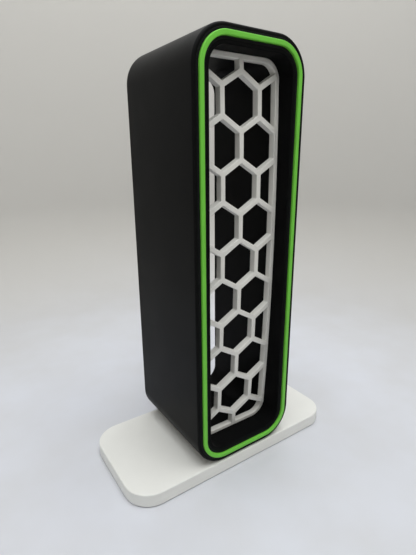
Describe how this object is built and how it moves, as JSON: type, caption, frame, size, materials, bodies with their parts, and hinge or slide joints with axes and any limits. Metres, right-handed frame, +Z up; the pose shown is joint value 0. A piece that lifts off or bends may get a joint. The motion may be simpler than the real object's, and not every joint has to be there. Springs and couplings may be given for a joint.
{
  "type": "mesh wifi node",
  "caption": "Tall open-tunnel mesh Wi-Fi node: black rounded tower with a green light ring and white honeycomb grille on a flat white base.",
  "frame": {"origin": "on the floor under the middle of the whole object, at the centre of its box", "axes": "+Z up the tower, -Y out of the front with the light ring, +X to the right seen from the front"},
  "size_m": [0.15, 0.072, 0.2425],
  "materials": {
    "shell_black": "satin fine-grained black plastic",
    "duct_black": "satin black plastic",
    "frame_black": "satin black plastic",
    "ring_green": "matte green plastic",
    "circuit_board": "green solder mask",
    "led_package": "white lamp package",
    "steel": "zinc plated",
    "screw_black": "black zinc",
    "grille_white": "warm white satin plastic",
    "chip_black": "moulded epoxy",
    "shield_tin": "tin plated",
    "thermal_pad": "soft silicone",
    "aluminium": "brushed",
    "gold_contact": "gold plated",
    "antenna_board": "solder mask over copper",
    "cable_grey": "smooth jacket",
    "cable_black": "smooth jacket",
    "socket_steel": "bright stainless",
    "inductor_grey": "moulded ferrite",
    "capacitor_tan": "ceramic",
    "lead_red": "smooth jacket",
    "ribbon_amber": "polyimide film",
    "switch_grey": "moulded switch",
    "button_grey": "satin dark grey plastic",
    "pin_grey": "light grey plastic",
    "base_white": "fine-textured white plastic",
    "ballast_steel": "phosphated sheet steel",
    "cover_white": "matte white plastic",
    "foot_rubber": "matte elastomer",
    "label_silver": "blank polyester label"
  },
  "bodies": {
    "node_body": {"outer_sleeve": "shell_black", "inner_duct": "duct_black", "front_frame": "frame_black", "light_ring": "ring_green", "led_strips": "circuit_board", "ring_leds": "led_package", "rear_frame": "frame_black", "tie_rods": "steel", "rear_screws": "screw_black", "honeycomb_grille": "grille_white", "main_board": "circuit_board", "processor": "chip_black", "memory_chips": "chip_black", "radio_shields": "shield_tin", "thermal_pads": "thermal_pad", "heat_spreader": "aluminium", "board_screws": "steel", "coax_connectors": "gold_contact", "antenna_top": "antenna_board", "antenna_left_upper": "antenna_board", "antenna_left_lower": "antenna_board", "antenna_right": "antenna_board", "cable_top": "cable_grey", "cable_left_upper": "cable_black", "cable_left_lower": "cable_grey", "cable_right": "cable_black", "power_board": "circuit_board", "power_inlet": "socket_steel", "inlet_tongue": "chip_black", "power_inductor": "inductor_grey", "power_capacitors": "capacitor_tan", "power_lead": "lead_red", "button_ribbon": "ribbon_amber", "button_board": "circuit_board", "button_switches": "switch_grey", "anchor_plate": "steel", "base_shell": "base_white", "ballast_plate": "ballast_steel", "base_cover": "cover_white", "base_screws": "steel", "cover_screws": "steel", "rubber_feet": "foot_rubber", "rating_label": "label_silver"},
    "pair_button": {"pair_button": "button_grey"},
    "reset_pin": {"reset_pin": "pin_grey"}
  },
  "joints": [
    {"name": "pair_press", "type": "slide", "parent": "node_body", "child": "pair_button", "axis": [0, -1, 0], "range_m": [0, 0.0004], "stiffness_N_per_m": 500, "springref_m": -0.0002},
    {"name": "reset_press", "type": "slide", "parent": "node_body", "child": "reset_pin", "axis": [0, -1, 0], "range_m": [0, 0.0003], "stiffness_N_per_m": 500, "springref_m": -0.0002}
  ]
}
